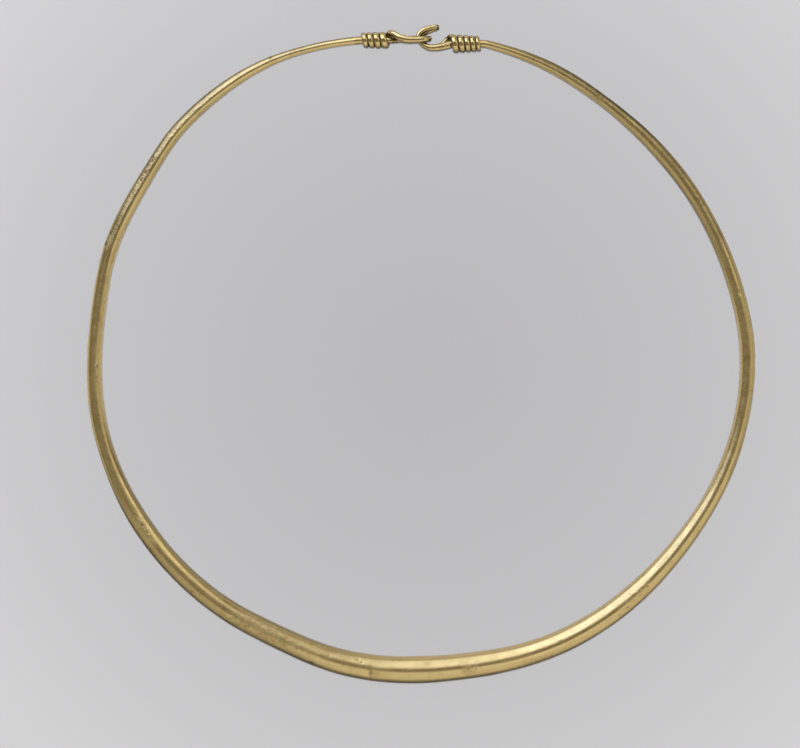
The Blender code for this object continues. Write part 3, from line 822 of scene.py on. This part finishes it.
def dirt_between(corners, own_reach, line):
    """How deep each corner of a wire lies in a groove: 1 where it touches another stretch, 0 in the open.

    The gap is the least distance to any other stretch's middle line, less that stretch's radius, and the
    dirt is a bell curve of the gap. A stretch is another one where it is more than two thicknesses away
    along the line.
    """
    points, thickness, reach = line
    flat = corners.reshape(-1, 3)
    own = np.repeat(own_reach, corners.shape[1])
    gap = np.full(len(flat), np.inf)
    for start in range(0, len(points), GAP_CHUNK):
        piece = slice(start, start + GAP_CHUNK)
        distance = np.linalg.norm(flat[:, None, :] - points[None, piece], axis=2) - thickness[piece] / 2
        same = np.abs(own[:, None] - reach[None, piece]) < 2.0 * thickness[piece]
        gap = np.minimum(gap, np.where(same, np.inf, distance).min(axis=1))
    return np.exp(-((np.maximum(gap, 0.0) / DIRT_REACH) ** 2)).reshape(corners.shape[:2])


def grid_faces(first, sides, reach):
    """Faces between neighbouring rings, and the pattern's place at each of their corners.

    The face (i, j) joins corners j and j + 1 of rings i and i + 1. The pattern runs along the line in
    metres and once round the section from 0 to 1.
    """
    rows = len(reach)
    i = np.repeat(np.arange(rows - 1), sides)
    j = np.tile(np.arange(sides), rows - 1)
    ring = np.stack([i, i + 1, i + 1, i], axis=1)
    corner = np.stack([j, j, j + 1, j + 1], axis=1)
    faces = first + ring * sides + corner % sides
    return faces, np.stack([reach[ring], corner / sides], axis=2)


def step_faces(coarse_first, fine_first, sides, coarse_reach, fine_reach, order):
    """Faces between a ring and one of twice its corners: a triangle and a quad at each coarse corner.

    The order is 1 where the finer ring comes second and -1 where it comes first.
    """
    j = np.arange(sides)
    fine = 2 * j[:, None] + np.arange(3)
    coarse = j[:, None] + np.arange(2)
    at = np.hstack([fine_first + fine % (2 * sides), coarse_first + coarse % sides])
    place = np.hstack([
        np.stack([np.full(fine.shape, fine_reach), fine / (2 * sides)], axis=2),
        np.stack([np.full(coarse.shape, coarse_reach), coarse / sides], axis=2),
    ])
    triangle, quad = [3, 0, 1][::order], [3, 1, 2, 4][::order]
    return [(at[:, triangle], place[:, triangle]), (at[:, quad], place[:, quad])]


def cap_face(first, reach, order):
    """One face across the last ring of a wire, facing back along the line for order 1, ahead for -1."""
    corner = np.arange(WIRE_SIDES)[::order]
    place = np.stack([np.full(WIRE_SIDES, reach), corner / WIRE_SIDES], axis=1)
    return (first + corner)[None], place[None]


def skin(name, corners, groups, attributes):
    """A mesh from all corners and groups of faces, each with the pattern's places at its corners."""
    mesh = bpy.data.meshes.new(name)
    sizes = np.concatenate([np.full(len(faces), faces.shape[1]) for faces, _ in groups])
    loops = np.concatenate([faces.ravel() for faces, _ in groups])
    places = np.concatenate([place.reshape(-1, 2) for _, place in groups])
    starts = np.concatenate([[0], np.cumsum(sizes)[:-1]])
    mesh.vertices.add(len(corners))
    mesh.vertices.foreach_set("co", corners.astype(np.float32).ravel())
    mesh.loops.add(len(loops))
    mesh.loops.foreach_set("vertex_index", loops.astype(np.int32))
    mesh.polygons.add(len(sizes))
    mesh.polygons.foreach_set("loop_start", starts.astype(np.int32))
    mesh.update(calc_edges=True)
    mesh.uv_layers.new(name=PATTERN_MAP).data.foreach_set("uv", places.astype(np.float32).ravel())
    for label, values in attributes.items():
        layer = mesh.attributes.new(label, "FLOAT", "POINT")
        layer.data.foreach_set("value", values.astype(np.float32).ravel())
    mesh.shade_smooth()
    piece = bpy.data.objects.new(name, mesh)
    bpy.context.collection.objects.link(piece)
    return piece


def neck_ring():
    """The whole ring as one closed skin: the eye's wire, the bar with twice the corners, the hook's wire.

    It is moved as the solid is, so that the middle of the ground that it covers is the solid's.
    """
    eye, (bar, bar_size, degrees), hook, tip = wires_and_bar()
    points = np.vstack([eye[0], bar, hook[0]])
    thickness = np.concatenate([eye[1], bar_size, hook[1]])
    reach = reach_along(points)
    eye_reach, bar_reach, hook_reach = np.split(reach, [len(eye[0]), len(eye[0]) + len(bar)])

    up = (0.0, 0.0, 1.0)
    bar_corners, bar_dirt, bar_rough, bar_shade_and_tarnish = bar_rings(bar, bar_size, degrees)
    eye_way, hook_way = unit(np.cross(bar[1] - bar[0], up)), unit(np.cross(bar[-1] - bar[-2], up))
    eye_corners, eye_ahead, eye_rough, eye_painted_shade, _ = wire_rings(eye, eye_way, -1, *tip)
    hook_corners, hook_ahead, hook_rough, hook_painted_shade, tip_dirt = wire_rings(hook, hook_way, 1, *tip)
    near = points[:, 1] > FAR_Y - CLOSURE_DEPTH
    line = points[near], thickness[near], reach[near]
    eye_dirt = dirt_between(eye_corners, eye_reach, line)
    hook_dirt = np.maximum(dirt_between(hook_corners, hook_reach, line), tip_dirt)

    eye_end = rounded_end(eye_corners[0], -eye_ahead[0])[::-1]
    hook_end = rounded_end(hook_corners[-1], hook_ahead[-1])
    more = np.arange(1, END_RINGS + 1) * END_STEP
    eye_reach = np.concatenate([eye_reach[0] - more[::-1], eye_reach])
    hook_reach = np.concatenate([hook_reach, hook_reach[-1] + more])
    corners = [np.vstack([eye_end, eye_corners]), bar_corners, np.vstack([hook_corners, hook_end])]

    bar_first = corners[0].shape[0] * WIRE_SIDES
    hook_first = bar_first + corners[1].shape[0] * BAR_SIDES
    count = hook_first + corners[2].shape[0] * WIRE_SIDES
    groups = [
        cap_face(0, eye_reach[0], 1),
        grid_faces(0, WIRE_SIDES, eye_reach),
        *step_faces(bar_first - WIRE_SIDES, bar_first, WIRE_SIDES, eye_reach[-1], bar_reach[0], 1),
        grid_faces(bar_first, BAR_SIDES, bar_reach),
        *step_faces(hook_first, hook_first - BAR_SIDES, WIRE_SIDES, hook_reach[0], bar_reach[-1], -1),
        grid_faces(hook_first, WIRE_SIDES, hook_reach),
        cap_face(count - WIRE_SIDES, hook_reach[-1], -1),
    ]
    flat = np.vstack([part.reshape(-1, 3) for part in corners])
    middle = (flat.max(axis=0) + flat.min(axis=0)) / 2
    cad_middle = (CAD_LOW + CAD_HIGH) / 2
    flat += (cad_middle.x - middle[0], cad_middle.y - middle[1], 0.0)
    bar_polish = np.tile(smooth(*zip(*BAR_POLISH), degrees)[:, None], BAR_SIDES)
    # The dirt, the roughness, the painted shade with the tarnished patches, and the polish, which the gold
    # reads
    wear_and_painted_shade = {
        DIRT: (eye_dirt, bar_dirt, hook_dirt),
        ROUGH: (eye_rough, bar_rough, hook_rough),
        PAINTED_SHADE_AND_TARNISH: (eye_painted_shade, bar_shade_and_tarnish, hook_painted_shade),
        POLISH: (np.ones_like(eye_painted_shade), bar_polish, np.ones_like(hook_painted_shade)),
    }
    for label, (on_eye, on_bar, on_hook) in wear_and_painted_shade.items():
        parts = held(on_eye, END_RINGS, 0), on_bar, held(on_hook, 0, END_RINGS)
        wear_and_painted_shade[label] = np.concatenate([part.ravel() for part in parts])
    return skin("neck_ring", flat, groups, wear_and_painted_shade)


def held(values, before, after):
    """The first and the last ring's values held over the closing rings before and after them."""
    return np.pad(values, ((before, after), (0, 0)), mode="edge")


class Nodes:
    """Adds nodes to a material and joins them up."""

    def __init__(self, name):
        self.material = bpy.data.materials.new(name)
        self.material.use_nodes = True
        self.tree = self.material.node_tree
        self.shader = self.tree.nodes["Principled BSDF"]

    def add(self, kind, links=(), **settings):
        """A node with its settings, and (input, source) links or values."""
        node = self.tree.nodes.new(kind)
        for key, value in settings.items():
            setattr(node, key, value)
        self.join(node, links)
        return node

    def join(self, node, links):
        """Links each input to a source socket, or sets it to a plain value."""
        for key, source in links:
            if isinstance(source, bpy.types.NodeSocket):
                self.tree.links.new(source, node.inputs[key])
            else:
                node.inputs[key].default_value = source

    def stretched(self, place, scale):
        """A place with each of its axes multiplied by the scale."""
        return self.add("ShaderNodeMapping", [("Vector", place), ("Scale", scale)]).outputs["Vector"]

    def noise(self, place, scale, detail, roughness=0.5):
        """Cloudy noise at a place: its value."""
        links = [("Vector", place), ("Scale", scale), ("Detail", detail), ("Roughness", roughness)]
        return self.add("ShaderNodeTexNoise", links).outputs["Fac"]

    def fit(self, value, low, high, to_low, to_high):
        """A value spread from one range to another and kept inside it."""
        links = [("Value", value), ("From Min", low), ("From Max", high)]
        links += [("To Min", to_low), ("To Max", to_high)]
        return self.add("ShaderNodeMapRange", links, clamp=True).outputs["Result"]

    def math(self, kind, one, other):
        """One value of two: their sum, difference, product or power."""
        return self.add("ShaderNodeMath", [(0, one), (1, other)], operation=kind).outputs["Value"]

    def blend(self, share, one, other):
        """One colour turning into another as the share goes from 0 to 1."""
        links = [("Factor", share), (6, one), (7, other)]
        return self.add("ShaderNodeMix", links, data_type="RGBA").outputs[2]

    def attribute(self, name):
        """A piece's own attribute."""
        return self.add("ShaderNodeAttribute", attribute_name=name).outputs["Fac"]


def worn_gold_with_painted_shade():
    """Softly polished gold in streaks of two tones, with stains, painted shade on its flanks and dirty
    grooves.

    Its roughness follows faint lengthwise lines and smears, and is less where it is polished and more on
    the roughened patches and the dirt. Its bump is the sum of the lines, a fine grain and the patches' pits.
    """
    made = Nodes("worn gold with painted shade")
    place = made.add("ShaderNodeTexCoord").outputs["Object"]
    along = made.add("ShaderNodeUVMap", uv_map=PATTERN_MAP).outputs["UV"]
    lines = made.noise(made.stretched(along, LINE_SCALE), 1.0, 3.0)
    streaks = made.noise(made.stretched(along, STREAK_SCALE), 1.0, 2.0)
    grain = made.noise(place, GRAIN_SCALE, 4.0, 0.6)
    drift = made.noise(place, DRIFT_SCALE, 2.0)
    dirt = made.attribute(DIRT)
    rough = made.attribute(ROUGH)

    # Painted shade on the flanks and in the corners, with the tarnished patches, thinner in places
    shade_and_tarnish = made.math("MULTIPLY", made.attribute(PAINTED_SHADE_AND_TARNISH), made.fit(drift, *NOISE_WIDE, SHADE_AND_TARNISH_THINNEST, 1.0))
    more = made.math("MULTIPLY", rough, STAINS_ON_PATCHES)
    cloudy = made.math("ADD", made.noise(place, STAIN_SCALE, 4.0, 0.65), more)
    stains = made.fit(cloudy, *STAIN_RANGE, 0.0, STAIN_STRENGTH)

    tone = made.blend(made.fit(streaks, *NOISE_NARROW, 0.0, 1.0), GOLD_GREENISH, GOLD_WARM)
    tone = made.blend(stains, tone, GOLD_STAINED)
    # The gold turns dark brown under the painted shade and on the tarnished patches
    tone = made.blend(shade_and_tarnish, tone, GOLD_PAINTED_SHADE_AND_TARNISH)
    caught = made.math("MULTIPLY", dirt, made.fit(grain, *NOISE_WIDE, *DIRT_GRAIN))
    dirty = made.fit(caught, *DIRT_RANGE, 0.0, 1.0)
    made.join(made.shader, [
        ("Base Color", made.blend(dirty, tone, DIRT_COLOUR)),
        ("Metallic", made.fit(dirty, 0.0, 1.0, 1.0, DIRT_METAL)),
    ])
    smear = made.fit(made.noise(place, SMEAR_SCALE, 3.0), *NOISE_NARROW, -SMEAR, SMEAR)
    dull = made.math("ADD", made.fit(lines, *NOISE_WIDE, *GOLD_ROUGHNESS), smear)
    dull = made.math("SUBTRACT", dull, made.math("MULTIPLY", made.attribute(POLISH), WIRE_POLISH))
    dull = made.math("ADD", dull, made.math("MULTIPLY", rough, PATCH_ROUGHNESS))
    dull = made.math("ADD", dull, made.math("MULTIPLY", dirty, DIRT_ROUGHNESS))
    made.join(made.shader, [("Roughness", dull)])

    lined = made.math("MULTIPLY", lines, LINE_DEPTH)
    grainy = made.math("MULTIPLY", grain, GRAIN_HEIGHT)
    pit_depth = made.math("MULTIPLY", rough, PITTED_DEPTH)
    pitted = made.math("MULTIPLY", made.noise(place, PITTED_SCALE, 3.0), pit_depth)
    height = made.math("ADD", made.math("ADD", lined, grainy), pitted)
    bump = made.add("ShaderNodeBump", [("Strength", 1.0), ("Distance", 1.0), ("Height", height)])
    made.join(made.shader, [("Normal", bump.outputs["Normal"])])
    return made.material


def pale_floor():
    """A plain pale matt floor, painted lighter outwards by the square of the distance from the middle:
    painted light.
    """
    made = Nodes("pale floor")
    place = made.add("ShaderNodeTexCoord").outputs["Object"]
    away = made.add("ShaderNodeVectorMath", [(0, place)], operation="LENGTH").outputs["Value"]
    # Painted light: the floor's tone grows lighter outwards
    share = made.math("POWER", made.fit(away, 0.0, FLOOR_OUTER_FROM, 0.0, 1.0), 2.0)
    tone = made.blend(share, FLOOR_MIDDLE, FLOOR_OUTER_PAINTED_LIGHT)
    links = [("Base Color", tone), ("Roughness", FLOOR_ROUGHNESS), ("Specular IOR Level", FLOOR_SHEEN)]
    made.join(made.shader, links)
    return made.material


def floor():
    """A square of floor at the height that the ring lies on."""
    half = FLOOR_SIZE / 2
    mesh = bpy.data.meshes.new("floor")
    corners = [(-half, -half, 0), (half, -half, 0), (half, half, 0), (-half, half, 0)]
    mesh.from_pydata(corners, [], [(0, 1, 2, 3)])
    mesh.materials.append(pale_floor())
    ground = bpy.data.objects.new("floor", mesh)
    bpy.context.collection.objects.link(ground)


def softbox(name, place, size, power, tint=(1.0, 1.0, 1.0)):
    """A soft rectangular light that faces the middle of the ring."""
    data = bpy.data.lights.new(name, "AREA")
    data.shape = "RECTANGLE"
    data.size, data.size_y = size
    data.energy = power
    data.color = tint
    lamp = bpy.data.objects.new(name, data)
    lamp.location = place
    lamp.rotation_euler = (-Vector(place)).to_track_quat("-Z", "Y").to_euler()
    lamp.visible_camera = False
    bpy.context.collection.objects.link(lamp)
    return lamp


def studio():
    """Soft boxes round the ring for the gold, a lamp for the floor, a dim room and a camera straight above.

    A box's power is its brightness times pi times its area. The soft boxes leave the floor unlit, so that
    it keeps one even tone.
    """
    for name, heading, up, distance, size, brightness, tint in SOFTBOXES:
        heading, up = np.radians((heading, up))
        way = (np.cos(up) * np.sin(heading), np.cos(up) * np.cos(heading), np.sin(up))
        power = brightness * np.pi * size[0] * size[1]
        lamp = softbox(name, distance * np.array(way), size, power, tint)
        lamp.visible_diffuse = False
    place, width, power = FLOOR_LAMP
    lamp = softbox("floor lamp", place, (width, width), power)
    lamp.visible_glossy = False
    scene = bpy.context.scene
    scene.world = bpy.data.worlds.new("studio")
    scene.world.use_nodes = True
    backdrop = scene.world.node_tree.nodes["Background"]
    backdrop.inputs["Color"].default_value = ROOM_COLOUR
    scene.view_settings.view_transform = "Standard"

    data = bpy.data.cameras.new("camera")
    data.lens = LENS
    data.sensor_width = SENSOR
    camera = bpy.data.objects.new("camera", data)
    camera.location = (*VIEW_MIDDLE, VIEW_WIDTH * LENS / SENSOR + VIEW_HEIGHT)
    bpy.context.collection.objects.link(camera)
    scene.camera = camera


studio()
floor()
ring = neck_ring()
ring.data.materials.append(worn_gold_with_painted_shade())
# The gold throws no warm glow on the floor beside it
ring.visible_diffuse = False
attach(ring, "root")
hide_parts("torc")
